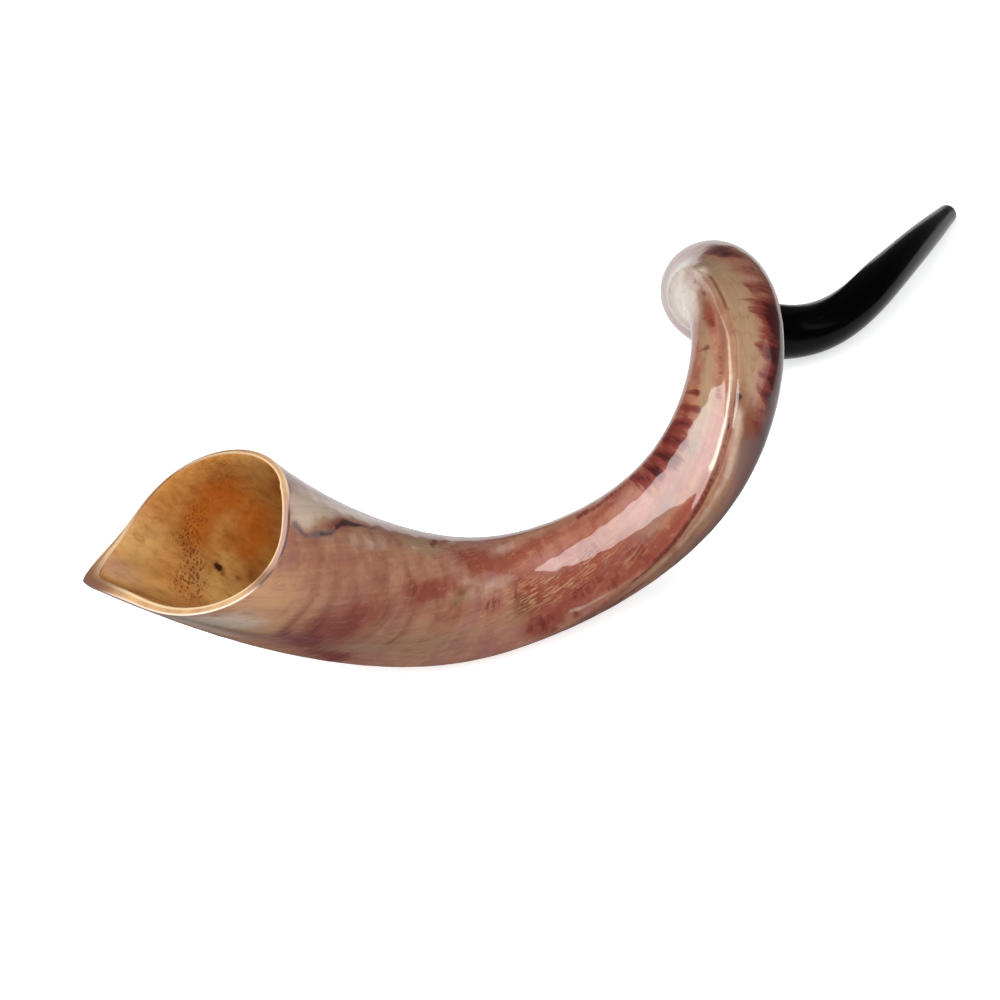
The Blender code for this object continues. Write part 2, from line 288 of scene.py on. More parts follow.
# Drawn marks: (layer, route as (along, turn in degrees), half width in millimetres, strength).
SKIN_STROKES = (
    # growth bands that sweep up the bell from its lower side
    ("maroon", ((0.112, -10), (0.092, -24), (0.073, -38), (0.052, -54)), 6.2, 0.90),
    ("maroon", ((0.084, -38), (0.070, -58), (0.060, -76)), 3.4, 0.90),
    ("band", ((0.106, -14), (0.090, -26), (0.072, -42), (0.054, -60)), 8.0, 1.30),
    ("band", ((0.119, -46), (0.121, -58), (0.116, -81), (0.106, -101), (0.094, -121), (0.083, -131)),
     2.2, 0.85),
    ("band", ((0.102, -52), (0.101, -71), (0.094, -89), (0.081, -108), (0.069, -117), (0.052, -140)),
     4.2, 0.70),
    ("band", ((0.072, -44), (0.063, -69), (0.052, -96), (0.041, -118)), 3.6, 1.20),
    ("band", ((0.060, -50), (0.046, -73), (0.038, -97), (0.033, -106)), 2.2, 1.30),
    ("band", ((0.054, -60), (0.041, -84), (0.033, -100)), 1.2, 0.80),
    ("band", ((0.084, -58), (0.073, -86), (0.060, -112)), 4.6, 0.90),
    ("band", ((0.138, -66), (0.128, -96), (0.112, -118)), 2.2, 0.60),
    ("band", ((0.154, -74), (0.142, -100), (0.128, -122)), 2.0, 0.50),
    ("band", ((0.172, -70), (0.166, -94), (0.156, -118)), 2.6, 0.60),
    ("band", ((0.205, -70), (0.196, -100), (0.186, -120)), 2.4, 0.40),
    # the crack and the smoky stain along it
    ("smoke_and_grey_reflection", ((0.004, -157), (0.013, -148), (0.024, -149), (0.036, -151)), 2.2, 1.00),
    ("smoke_and_grey_reflection", ((0.024, -149), (0.043, -154), (0.056, -158)), 2.8, 0.80),
    ("stain", ((0.005, -156), (0.012, -149), (0.019, -148), (0.028, -150)), 0.8, 0.65),
    ("stain", ((0.028, -150), (0.036, -151), (0.043, -156)), 1.0, 0.80),
    ("stain", ((0.043, -156), (0.054, -160), (0.063, -157), (0.078, -156), (0.092, -160)), 1.5, 1.10),
    ("stain", ((0.052, -160), (0.060, -158), (0.068, -157)), 2.4, 0.95),
    ("stain", ((0.0, -126), (0.006, -120), (0.012, -108)), 0.9, 0.70),
    ("red", ((0.044, -164), (0.058, -166), (0.070, -166)), 2.4, 0.85),
    ("pale_and_reflection", ((0.110, -131), (0.118, -131)), 1.0, 0.70),
    ("pale_and_reflection", ((0.152, -133), (0.160, -133)), 1.6, 0.45),
    ("pale_and_reflection", ((0.188, -135), (0.195, -135)), 1.7, 0.40),
    ("maroon", ((0.132, -134), (0.141, -143), (0.149, -154)), 2.0, 1.00),
    ("maroon", ((0.050, -160), (0.040, -166)), 2.0, 0.40),
    # the belly
    ("maroon", ((0.226, -2), (0.222, -12), (0.218, -34)), 3.0, 0.85),
    ("maroon", ((0.240, -8), (0.238, -20)), 2.4, 0.55),
    ("maroon", ((0.266, -12), (0.273, -26)), 3.0, 0.70),
    ("maroon", ((0.288, -8), (0.280, -52)), 2.6, 0.60),
    ("maroon", ((0.205, -66), (0.222, -72)), 2.4, 0.50),
    ("stain", ((0.148, -76), (0.154, -84)), 2.4, 0.42),
    ("maroon", ((0.268, -104), (0.290, -99), (0.312, -92)), 1.9, 1.00),
    ("maroon", ((0.247, 28), (0.251, 6)), 2.0, 0.90),
    ("maroon", ((0.258, 27), (0.280, 25)), 2.6, 1.00),
    # The light streak low on the keel's bend is painted reflection.
    ("pale_and_reflection", ((0.238, -16), (0.262, -8), (0.276, -1)), 1.1, 0.55),
    # lines beside the crest; the light one along it is a painted highlight
    ("umber", ((0.275, 5), (0.330, 9), (0.350, 10), (0.380, 11), (0.430, 5)), 1.0, 0.95),
    ("maroon", ((0.290, 3), (0.340, 6), (0.375, 6)), 1.8, 0.85),
    ("pale_and_reflection", ((0.345, -3), (0.385, 2), (0.415, -4), (0.440, -13)), 1.2, 0.90),
    ("umber", ((0.430, 2), (0.470, -4), (0.500, 8), (0.530, 26)), 1.0, 0.80),
    ("maroon", ((0.450, -22), (0.470, -21), (0.490, -8), (0.520, 12)), 1.6, 0.60),
    # a light band beside the crest, which is painted reflection, and painted grey reflection on the outer
    # face, low on the strand
    ("pale_and_reflection", ((0.375, 20), (0.345, 25), (0.325, 22), (0.300, 17), (0.280, 15)), 3.4, 0.55),
    ("smoke_and_grey_reflection", ((0.385, 78), (0.350, 70), (0.320, 52), (0.290, 36)), 7.0, 1.25),
    ("maroon", ((0.385, 84), (0.350, 78), (0.320, 62), (0.285, 40)), 4.0, 0.90),
    ("smoke_and_grey_reflection", ((0.362, 44), (0.345, 42), (0.325, 36)), 5.0, 0.70),
    ("maroon", ((0.478, 46), (0.492, 36), (0.500, 18)), 3.0, 0.95),
    ("maroon", ((0.440, 46), (0.447, 30)), 2.6, 0.90),
    # dark feathers on the strand's outer side
    ("maroon", ((0.369, 86), (0.374, 44)), 3.0, 1.20),
    ("maroon", ((0.385, 92), (0.391, 40)), 4.0, 1.60),
    ("maroon", ((0.396, 80), (0.399, 38)), 2.2, 1.20),
    ("maroon", ((0.406, 94), (0.411, 38)), 3.4, 1.60),
    ("maroon", ((0.421, 96), (0.428, 36)), 4.8, 1.70),
    ("maroon", ((0.432, 72), (0.434, 24)), 2.0, 1.10),
    ("maroon", ((0.380, 92), (0.436, 88)), 3.6, 1.10),
    ("maroon", ((0.442, 62), (0.443, 36)), 1.2, 0.60),
    ("maroon", ((0.460, 62), (0.461, 42)), 1.8, 0.45),
    ("maroon", ((0.474, 60), (0.475, 44)), 2.4, 0.70),
    ("maroon", ((0.480, 54), (0.502, 52)), 3.4, 0.90),
    ("stain", ((0.3835, 16), (0.3845, 20)), 1.2, 1.30),
    # and on its inner side
    ("maroon", ((0.317, -72), (0.312, -96)), 3.0, 1.20),
    ("maroon", ((0.326, -66), (0.323, -92)), 2.8, 1.15),
    ("maroon", ((0.339, -50), (0.335, -86)), 3.6, 1.35),
    ("maroon", ((0.350, -48), (0.348, -84)), 2.6, 1.00),
    ("maroon", ((0.361, -50), (0.358, -78)), 2.2, 0.95),
    ("maroon", ((0.371, -46), (0.369, -74)), 2.6, 1.05),
    ("maroon", ((0.3815, -50), (0.3805, -70)), 1.8, 1.40),
    ("maroon", ((0.409, -38), (0.408, -54)), 2.0, 0.80),
    ("maroon", ((0.424, -26), (0.432, -40)), 2.6, 0.75),
    ("maroon", ((0.382, -13), (0.400, -15), (0.424, -25)), 2.0, 0.45),
)
# Rows of feathers on the far side: (first along, step, how many, turn at the root, at the point). How much
# of the way a feather goes, and its half width, vary along a row by waves of (middle, swing, pace).
FAR_FEATHERS = (
    (0.470, 0.014, 9, 150, 105), (0.300, 0.013, 8, 140, 95), (0.180, 0.016, 7, 62, 100),
    (0.500, 0.015, 8, -170, -120), (0.200, 0.015, 7, -168, -142), (0.560, 0.014, 6, 20, 60),
)
FAR_REACH = (0.55, 0.45, 2.4)
FAR_WIDTH = (2.6, 1.2, 1.7)
FAR_LEAN = 0.003
FAR_STRENGTH = 1.1
# Where the polish has opened the fibres of the skin.
FIBRE_PATCHES = (
    ("fibre", 0.245, -50, 0.036, 16, 1.10), ("fibre", 0.205, -60, 0.026, 20, 0.80),
    ("fibre", 0.125, -132, 0.026, 12, 0.80), ("fibre", 0.160, -125, 0.030, 14, 0.60),
    ("fibre", 0.370, -32, 0.026, 10, 0.30), ("fibre", 0.282, -24, 0.022, 11, 0.70),
    ("fibre", 0.260, 150, 0.040, 24, 0.50),
)

# Marks inside the bell, in the same terms. The deep marks are painted shade, and the ochre marks are partly
# the amber's own colour and partly painted light.
HOLLOW_PATCHES = (
    ("deep", 0.030, 84, 0.014, 26, 1.00), ("deep", 0.068, 86, 0.014, 26, 0.95),
    ("deep", 0.050, 100, 0.020, 14, 0.55), ("deep", 0.038, 60, 0.012, 18, 0.55),
    ("ochre", 0.010, 30, 0.014, 24, 1.00), ("ochre", 0.058, 24, 0.018, 18, 1.10),
    ("ochre", 0.012, 128, 0.024, 14, 0.90), ("ochre", 0.058, 56, 0.008, 10, 0.60),
    ("ochre", 0.020, 4, 0.020, 9, 0.60), ("umber", 0.034, 60, 0.010, 12, 0.35),
    ("umber", 0.060, 78, 0.008, 10, 0.30), ("umber", 0.022, 100, 0.014, 8, 0.25),
    ("umber", 0.040, 30, 0.010, 18, 0.30), ("umber", 0.074, 60, 0.006, 10, 0.35),
    ("umber", 0.014, 10, 0.012, 14, 0.40), ("umber", 0.026, 0, 0.012, 6, 0.30),
    ("pores", 0.031, 48, 0.009, 11, 1.00), ("pores", 0.040, 33, 0.008, 13, 1.20),
    ("pores", 0.039, 17, 0.009, 11, 1.10), ("pores", 0.030, 68, 0.010, 14, 0.60),
    ("pores", 0.018, 104, 0.020, 16, 0.40), ("ochre", 0.020, -90, 0.060, 60, 0.50),
    ("deep", 0.200, 0, 0.090, 180, 0.80), ("rose", 0.004, 8, 0.010, 6, 0.90),
)
LIP_PATCHES = (
    ("umber", 0.0, -4, 0.05, 16, 1.00), ("umber", 0.0, -113, 0.05, 7, 0.80),
    ("ochre", 0.0, -40, 0.05, 34, 1.00), ("umber", 0.0, 74, 0.05, 56, 0.90),
    ("rose", 0.0, -150, 0.05, 34, 1.20),
)
HOLLOW_STROKES = (
    ("spot", ((0.0543, 47), (0.0565, 48)), 2.0, 2.20), ("spot", ((0.0583, 43), (0.0590, 43)), 1.2, 1.50),
    ("spot", ((0.0670, 45), (0.0690, 47)), 1.6, 0.85), ("spot", ((0.0740, 55), (0.0750, 60)), 1.4, 0.55),
    ("spot", ((0.0005, 4), (0.0015, 6)), 1.4, 0.90), ("spot", ((0.0750, 104), (0.0780, 100)), 1.2, 0.40),
)
# A stroke is this much thinner and weaker at its far end.
TAPER = 0.6
LAYERS = ("maroon", "band", "red", "olive", "umber", "amber", "pale_and_reflection", "smoke_and_grey_reflection", "stain", "fibre",
          "deep", "ochre", "pores", "spot", "rose")


def growth(along, turn):
    """Growth lines as places where they leave the back of the horn."""
    near_bell = np.clip(1 - along / LEAN_REACH, 0, 1)
    return along - LEAN_OF_GROWTH * near_bell * (1 + np.cos(turn)) / 2


def wobble(along, turn):
    """The same place, pushed about a little."""
    def push(waves):
        return sum(size * np.sin(lengthwise * 2 * math.pi * along + crosswise * turn + phase)
                   for size, lengthwise, crosswise, phase in waves)

    return along + push(WAVES_ALONG), turn + push(WAVES_ROUND)


def stroke_share(along, turn, route, width_mm, length, taper=0.0):
    """How close a place is to a drawn stroke: 1 on it, fading over its half width, which may taper."""
    radius_mm = float(smooth(RADIUS_MM, [route[len(route) // 2][0]])[0])
    scale = length / MM
    share = np.zeros(along.shape)
    parts = len(route) - 1
    for k, ((a0, t0), (a1, t1)) in enumerate(zip(route, route[1:])):
        px = (along - a0) * scale
        py = wrap(turn - math.radians(t0)) * radius_mm
        dx = (a1 - a0) * scale
        dy = math.radians(t1 - t0) * radius_mm
        run = np.clip((px * dx + py * dy) / (dx * dx + dy * dy), 0, 1)
        away = (px - run * dx) ** 2 + (py - run * dy) ** 2
        left = 1 - taper * (k + run) / parts
        share = np.maximum(share, left * np.exp(-away / (width_mm * left) ** 2))
    return share


def far_feathers():
    """Strokes for the feathers of the far side."""
    def swing(wave, step, phase):
        middle, most, pace = wave
        return middle + most * math.sin(pace * step + phase)

    strokes = []
    for first, step, count, root, point in FAR_FEATHERS:
        for k in range(count):
            along = first + step * k
            reach = swing(FAR_REACH, k, root)
            width = swing(FAR_WIDTH, k, point)
            route = ((along, root), (along + FAR_LEAN, root + (point - root) * reach))
            strokes.append(("maroon", route, width, FAR_STRENGTH))
    return tuple(strokes)


def paint_layers(along, turn, spine, patches, strokes):
    """Strength of each painted layer, from lists of marks."""
    painted = {name: np.zeros(along.shape) for name in LAYERS}
    along, turn = wobble(along, turn)
    for layer, place, angle, half_length, half_width, strength in patches:
        a = (along - place) / half_length
        t = np.degrees(wrap(turn - math.radians(angle))) / half_width
        painted[layer] += strength * np.exp(-((a * a + t * t) ** PATCH_EDGE))
    for layer, route, width, strength in strokes:
        painted[layer] += strength * stroke_share(along, turn, route, width, spine.length, TAPER)
    return painted


def relief_mm(along, turn, spine):
    """Height of the skin over the plain horn: slight swellings of growth, and the shaping of the crest."""
    phase = growth(along, turn) * spine.length / (SWELLING_PITCH_MM * MM) * 2 * math.pi
    swelling = np.sin(phase) + SECOND_SHARE * np.sin(SECOND_PACE * phase + SECOND_SWAY * np.sin(turn))
    fade = np.clip(along / SWELLING_FADE_IN, 0, 1)
    fade = fade * np.clip((SWELLING_GONE - along) / SWELLING_FADE_OUT, 0, 1)
    height = SWELLING_MM * (swelling - 1 - SECOND_SHARE) * fade / 2
    for route, width, rise in RELIEF:
        height = height + rise * stroke_share(along, turn, route, width, spine.length)
    return height


# ---------------------------------------------------------------- meshes

def join_rings(name, blocks):
    """One closed skin from blocks of rings: (points, material number, {attribute: values}) for each.
    The last ring joins the first, which makes a tube with a wall."""
    points = np.concatenate([block[0] for block in blocks])
    count, width = points.shape[:2]
    nearer = np.arange(count * width).reshape(count, width)
    further = np.roll(nearer, -1, axis=0)
    faces = np.stack([nearer, np.roll(nearer, -1, 1), np.roll(further, -1, 1), further], axis=-1)
    mesh = bpy.data.meshes.new(name)
    mesh.from_pydata(points.reshape(-1, 3).tolist(), [], faces.reshape(-1, 4).tolist())
    numbers = np.concatenate([np.full(len(block[0]), block[1]) for block in blocks])
    mesh.polygons.foreach_set("material_index", np.repeat(numbers, width).astype(np.int32))
    mesh.polygons.foreach_set("use_smooth", np.ones(count * width, bool))
    for key in blocks[0][2]:
        values = np.concatenate([np.asarray(block[2][key], float).reshape(len(block[0]), width, -1)
                                 for block in blocks])
        kind = "FLOAT_VECTOR" if values.shape[-1] == 3 else "FLOAT"
        field = "vector" if kind == "FLOAT_VECTOR" else "value"
        attribute = mesh.attributes.new(key, kind, "POINT")
        attribute.data.foreach_set(field, values.astype(np.float32).ravel())
    mesh.validate()
    mesh.update()
    piece = bpy.data.objects.new(name, mesh)
    bpy.context.scene.collection.objects.link(piece)
    return piece


def attributes(along, turn, radii_mm, spine, patches=(), strokes=(), lip=0.0):
    """What the materials read: a straightened place for the grain, and the painted layers."""
    grain = np.stack([along * spine.length, radii_mm * np.cos(turn) * MM, radii_mm * np.sin(turn) * MM], -1)
    values = {"grain": grain, "growth": growth(along, turn) * spine.length, "along": along,
              "lip": np.broadcast_to(lip, along.shape).copy()}
    values.update(paint_layers(along, turn, spine, patches, strokes))
    return values


def hollow_radii(places, turn):
    """The hollow in millimetres: it follows the sheath, flares to a thin edge on the side of the mouth
    that was scraped, and narrows to the drilled bore."""
    wall = smooth(WALL_MM, places)[:, None]
    inside = (smooth(RADIUS_MM, places)[:, None] - wall) * outline(places, turn, KEEL_INSIDE)
    scraped = np.clip(1 - np.abs(wrap(turn - math.radians(FLARE_MIDDLE))) / math.radians(FLARE_HALF), 0, 1)
    flare = FLARE_MM * scraped**0.5 * np.exp(-places[:, None] / FLARE_REACH)
    narrowed = np.clip((places - HOLLOW_NARROWS) / (TIP_START - HOLLOW_NARROWS), 0, 1)[:, None]
    blend = narrowed**2 * (3 - 2 * narrowed)
    return (inside + flare) * (1 - blend) + BORE_RADIUS_MM * blend


def horn_piece(spine):
    """The sheath: its skin from the black end to the mouth, the lip, and the hollow back again."""
    turns = around(POINTS)[None, :]
    rounding = LIP_ROUNDING_MM * MM / spine.length
    places = np.linspace(TIP_START, rounding, SKIN_RINGS)
    turn = np.broadcast_to(turns, (len(places), POINTS))
    along = np.broadcast_to(places[:, None], turn.shape)
    radii = smooth(RADIUS_MM, places)[:, None] * outline(places, turn)
    raised = radii + relief_mm(along, turn, spine)
    marks = (SKIN_PATCHES + FIBRE_PATCHES, SKIN_STROKES + far_feathers())
    skin = (rings(spine, places, raised * MM, turn), 0, attributes(along, turn, radii, spine, *marks))

    # The lip goes from the skin to the hollow, with both edges rounded.
    zero = np.zeros(1)
    outer = smooth(RADIUS_MM, zero)[:, None] * outline(zero, turns)
    wall = outer - hollow_radii(zero, turns)
    sawn = np.clip(wall / LIP_FULL_MM, LIP_LEAST, 1)
    blocks = []
    for step in np.linspace(0, 1, LIP_RINGS + 2)[1:-1]:
        share = (1 - math.cos(math.pi * step)) / 2
        from_edge = np.minimum(share, 1 - share) * wall / LIP_ROUNDING_MM
        back = LIP_ROUNDING_MM * (1 - np.sqrt(1 - np.clip(1 - from_edge, 0, 1) ** 2))
        radii_here = outer - share * wall
        place = float(back.mean()) * MM / spine.length
        here = rings(spine, np.array([place]), radii_here * MM, turns)
        along_here = np.full((1, POINTS), place)
        lip = (1 - (1 - LIP_INNER) * share) * sawn
        blocks.append((here, 1, attributes(along_here, turns, radii_here, spine, LIP_PATCHES, lip=lip)))

    places = rounding + (TIP_START - rounding) * np.linspace(0, 1, HOLLOW_RINGS) ** HOLLOW_CROWDING
    turn = np.broadcast_to(turns, (len(places), POINTS))
    along = np.broadcast_to(places[:, None], turn.shape)
    radii = hollow_radii(places, turn)
    near_lip = LIP_INNER * np.exp(-along * spine.length / (LIP_FADE_MM * MM)) * sawn
    hollow = (rings(spine, places, radii * MM, turn), 1,
              attributes(along, turn, radii, spine, HOLLOW_PATCHES, HOLLOW_STROKES, near_lip))
    return join_rings("polished_horn", [skin, *blocks, hollow])


def tip_piece(spine):
    """The black end: its skin, its rounded edge, the cup, and the bore back to the sheath."""
    turns = around(TIP_POINTS)[None, :]
    end_share = END_ROUNDING_MM * MM / spine.length
    places = np.linspace(TIP_START, 1 - end_share, TIP_RINGS)
    turn = np.broadcast_to(turns, (len(places), TIP_POINTS))
    radii = smooth(RADIUS_MM, places)[:, None] * outline(places, turn)
    blocks = [(places, radii)]
    bend = np.linspace(0, math.pi / 2, END_RINGS + 1)[1:]
    places = 1 - end_share * (1 - np.sin(bend))
    radii = smooth(RADIUS_MM, places)[:, None] * outline(places, np.repeat(turns, len(places), 0))
    blocks.append((places, radii - END_ROUNDING_MM * (1 - np.cos(bend))[:, None]))
    shares = np.linspace(1, 0, CUP_RINGS)
    places = CUP_START + (1 - CUP_START) * shares
    radii = BORE_RADIUS_MM + (CUP_RADIUS_MM - BORE_RADIUS_MM) * shares**CUP_CURVE
    blocks.append((places, np.repeat(radii[:, None], TIP_POINTS, 1)))
    places = np.linspace(BORE_ENDS, TIP_START, BORE_RINGS)
    blocks.append((places, np.full((BORE_RINGS, TIP_POINTS), BORE_RADIUS_MM)))
    made = []
    for places, radii in blocks:
        turn = np.broadcast_to(turns, radii.shape)
        along = np.broadcast_to(places[:, None], radii.shape)
        made.append((rings(spine, places, radii * MM, turn), 0, attributes(along, turn, radii, spine)))
    return join_rings("polished_tip", made)


# ---------------------------------------------------------------- materials

def colour(red, green, blue):
    """A colour given as it looks on a screen, 0 to 255, as the shader wants it."""
    def linear(value):
        value /= 255
        return value / 12.92 if value <= 0.04045 else ((value + 0.055) / 1.055) ** 2.4
    return (linear(red), linear(green), linear(blue), 1.0)


class Paint:
    """Builds a material's nodes from plain calls."""

    def __init__(self, name):
        self.material = bpy.data.materials.new(name)
        self.material.use_nodes = True
        self.tree = self.material.node_tree
        self.shader = self.tree.nodes["Principled BSDF"]

    def put(self, value, socket):
        """Link a socket to a value, or set a plain number or colour on it."""
        if isinstance(value, bpy.types.NodeSocket):
            self.tree.links.new(value, socket)
        else:
            socket.default_value = value

    def node(self, kind, **settings):
        made = self.tree.nodes.new(kind)
        for key, value in settings.items():
            setattr(made, key, value)
        return made

    def read(self, name, vector=False):
        """What the mesh carries at each point under this name."""
        made = self.node("ShaderNodeAttribute", attribute_name=name)
        return made.outputs["Vector" if vector else "Fac"]

    def math(self, operation, first, second=0.0, third=0.0, clamp=False):
        made = self.node("ShaderNodeMath", operation=operation, use_clamp=clamp)
        for value, socket in zip((first, second, third), made.inputs):
            self.put(value, socket)
        return made.outputs[0]

    def stretch(self, vector, factors):
        made = self.node("ShaderNodeVectorMath", operation="MULTIPLY")
        self.put(vector, made.inputs[0])
        made.inputs[1].default_value = factors
        return made.outputs[0]

    def vector(self, x, y, z):
        made = self.node("ShaderNodeCombineXYZ")
        for value, socket in zip((x, y, z), made.inputs):
            self.put(value, socket)
        return made.outputs[0]

    def parts(self, vector):
        made = self.node("ShaderNodeSeparateXYZ")
        self.put(vector, made.inputs[0])
        return made.outputs

    def noise(self, vector, detail=4.0, roughness=0.55, distortion=0.0):
        made = self.node("ShaderNodeTexNoise")
        self.put(vector, made.inputs["Vector"])
        made.inputs["Scale"].default_value = 1.0
        made.inputs["Detail"].default_value = detail
        made.inputs["Roughness"].default_value = roughness
        made.inputs["Distortion"].default_value = distortion
        return made.outputs[0]

    def cells(self, vector):
        """Distance from the middle of the nearest scattered cell."""
        made = self.node("ShaderNodeTexVoronoi")
        self.put(vector, made.inputs["Vector"])
        made.inputs["Scale"].default_value = 1.0
        return made.outputs["Distance"]

    def span(self, value, low, high, to_low=0.0, to_high=1.0):
        """Ease from to_low, where the value is low, to to_high, where it is high."""
        made = self.node("ShaderNodeMapRange", interpolation_type="SMOOTHSTEP")
        for one, socket in zip((value, low, high, to_low, to_high), made.inputs):
            self.put(one, socket)
        return made.outputs[0]

    def mix(self, share, first, second):
        """Mix two colours, whose sockets come after the node's own for numbers and vectors."""
        made = self.node("ShaderNodeMix", data_type="RGBA")
        self.put(share, made.inputs[0])
        self.put(first, made.inputs[6])
        self.put(second, made.inputs[7])
        return made.outputs[2]

    def torn(self, noise, amount, value):
        """A value pushed up and down by a noise, which tears the edges of what it marks."""
        return self.math("MULTIPLY_ADD", self.math("SUBTRACT", noise, 0.5), amount, value)

    def lay(self, name, most, under, tint):
        """Lay one painted layer over a colour, at most so strongly."""
        return self.mix(self.math("MULTIPLY", self.read(name), most, clamp=True), under, tint)

    def bump(self, height, distance, strength=1.0):
        made = self.node("ShaderNodeBump")
        made.inputs["Strength"].default_value = strength
        made.inputs["Distance"].default_value = distance
        self.put(height, made.inputs["Height"])
        return made.outputs[0]

    def finish(self, base, normal=None, **sockets):
        """Join the results to the shader. A socket's name is given with _ for each space."""
        self.put(base, self.shader.inputs["Base Color"])
        if normal is not None:
            self.put(normal, self.shader.inputs["Normal"])
        for name, value in sockets.items():
            self.put(value, self.shader.inputs[name.replace("_", " ")])
        return self.material


class SkinPaint(Paint):
    """Paint for the polished outside, with the noises that its colours share."""

    def __init__(self, name):
        super().__init__(name)
        self.grain = self.read("grain", vector=True)
        _, across, aside = self.parts(self.grain)
        self.bent = self.vector(self.read("growth"), across, aside)
        # Noise drawn out along the grain makes fibres. Noise squeezed along the growth lines makes bands.
        self.clouds = self.noise(self.stretch(self.grain, (24, 50, 50)), 6, 0.62, 0.5)
        self.mottle = self.noise(self.stretch(self.bent, (150, 90, 90)), 5, 0.66, 0.6)
        self.feathers = self.noise(self.stretch(self.bent, (420, 45, 45)), 5, 0.6, 0.5)
        self.fibres = self.noise(self.stretch(self.grain, (28, 520, 520)), 3, 0.6)

    def wash(self, under, name, tint, ragged=0.5, most=0.95):
        """Lay one painted layer over the colour so far, with its edge broken up by the grain."""
        torn = self.torn(self.mottle, ragged, self.read(name))
        kept = self.math("MULTIPLY", self.span(torn, 0.05, 0.95), self.span(self.read(name), 0.0, 0.12))
        return self.mix(self.math("MULTIPLY", kept, most), under, tint)

    def keratin(self):
        """Clouded tan and brown, with darker arcs of growth and a blush of pink."""
        base = self.mix(self.span(self.clouds, 0.32, 0.70), colour(164, 118, 91), colour(146, 90, 69))
        base = self.mix(self.span(self.mottle, 0.35, 0.72, 0.0, 0.35), base, colour(178, 136, 107))
        arcs = self.noise(self.stretch(self.bent, (95, 9, 9)), 4, 0.55, 0.3)
        base = self.mix(self.span(arcs, 0.46, 0.66, 0.0, 0.32), base, colour(128, 66, 56))
        blush = self.noise(self.stretch(self.bent, (42, 26, 26)), 4, 0.6, 0.6)
        return self.mix(self.span(blush, 0.47, 0.64, 0.0, 0.50), base, colour(150, 98, 96))

    def broad_colours(self, base):
        """The washes, the growth bands over them, and flecks all over."""
        base = self.wash(base, "olive", colour(150, 120, 92))
        base = self.wash(base, "umber", colour(108, 60, 40))
        base = self.wash(base, "amber", colour(188, 141, 104))
        base = self.wash(base, "red", colour(128, 62, 48), ragged=1.3)
        # One layer holds light patches of the horn's own colour, and painted reflections and highlights.
        base = self.wash(base, "pale_and_reflection", colour(206, 183, 163), ragged=0.7)
        streaked = self.math("MULTIPLY", self.read("band"), self.span(self.feathers, 0.30, 0.66, 0.45, 1.0))
        base = self.mix(self.math("MULTIPLY", streaked, 0.70, clamp=True), base, colour(104, 44, 40))
        flecks = self.noise(self.stretch(self.grain, (150, 300, 300)), 5, 0.68, 0.4)
        base = self.mix(self.span(flecks, 0.52, 0.72, 0.0, 0.32), base, colour(96, 44, 36))
        return self.mix(self.span(flecks, 0.47, 0.28, 0.0, 0.26), base, colour(188, 148, 114))

    def maroon(self, base):
        """Maroon is torn into feathers: a red wash at its edges, and near black where it is strongest."""
        torn = self.torn(self.mottle, 1.4, self.torn(self.feathers, 2.2, self.read("maroon")))
        present = self.span(self.read("maroon"), 0.02, 0.40)
        light = self.math("MULTIPLY", self.span(torn, 0.05, 0.85), present)
        base = self.mix(self.math("MULTIPLY", light, 0.88), base, colour(106, 38, 34))
        dark = self.math("MULTIPLY", self.span(torn, 0.80, 1.75), present)
        return self.mix(self.math("MULTIPLY", dark, 0.92), base, colour(52, 12, 14))

    def threads(self, base):
        """Light threads where the polish has opened the fibres, and faint dark fibres all over."""
        threads = self.noise(self.stretch(self.grain, (100, 1500, 1500)), 2, 0.5)
        patchy = self.noise(self.stretch(self.grain, (150, 240, 240)), 2)
        lines = self.math("MULTIPLY", self.span(threads, 0.47, 0.60), self.span(patchy, 0.32, 0.56))
        fibre = self.math("MULTIPLY", lines, self.read("fibre"))
        base = self.mix(self.math("MULTIPLY", fibre, 0.42, clamp=True), base, colour(190, 152, 112))
        return self.mix(self.span(self.fibres, 0.40, 0.72, 0.0, 0.14), base, colour(92, 46, 36))


def skin_material():
    """The polished outside: tan and olive keratin, feathered with maroon, under a clear gloss."""
    paint = SkinPaint("marbled_horn_polish")
    base = paint.threads(paint.maroon(paint.broad_colours(paint.keratin())))
    # One layer holds the smoky stain along the crack, and painted grey reflection on the strand's outer
    # face and under its highlight.
    base = paint.wash(base, "smoke_and_grey_reflection", colour(104, 88, 88), ragged=0.9, most=0.75)
    base = paint.wash(base, "stain", colour(46, 20, 18), ragged=1.1, most=0.9)

    # The colour darkens to black towards the solid end, and the clear gloss gives way to its polish.
    burnt = paint.torn(paint.feathers, 0.05, paint.read("along"))
    base = paint.mix(paint.span(burnt, 0.620, 0.672), base, colour(50, 25, 19))
    base = paint.mix(paint.span(burnt, 0.655, 0.690), base, colour(5, 4, 4))
    roughness = paint.mix(paint.span(burnt, 0.650, 0.690), paint.span(paint.fibres, 0.3, 0.7, 0.30, 0.42),
                          paint.span(paint.clouds, 0.35, 0.65, 0.14, 0.20))
    coat = paint.span(burnt, 0.650, 0.690, 1.0, 0.0)

    wavy = paint.noise(paint.stretch(paint.bent, (60, 40, 40)), 2, 0.4)
    paint.put(paint.bump(wavy, 0.00007), paint.shader.inputs["Coat Normal"])
    under = paint.math("ADD", paint.math("MULTIPLY", paint.fibres, 0.5), paint.mottle)
    return paint.finish(base, paint.bump(under, 0.00003, 0.6), Roughness=roughness, Coat_Weight=coat,
                        Coat_Roughness=0.03, Coat_IOR=1.5, Specular_IOR_Level=0.12)


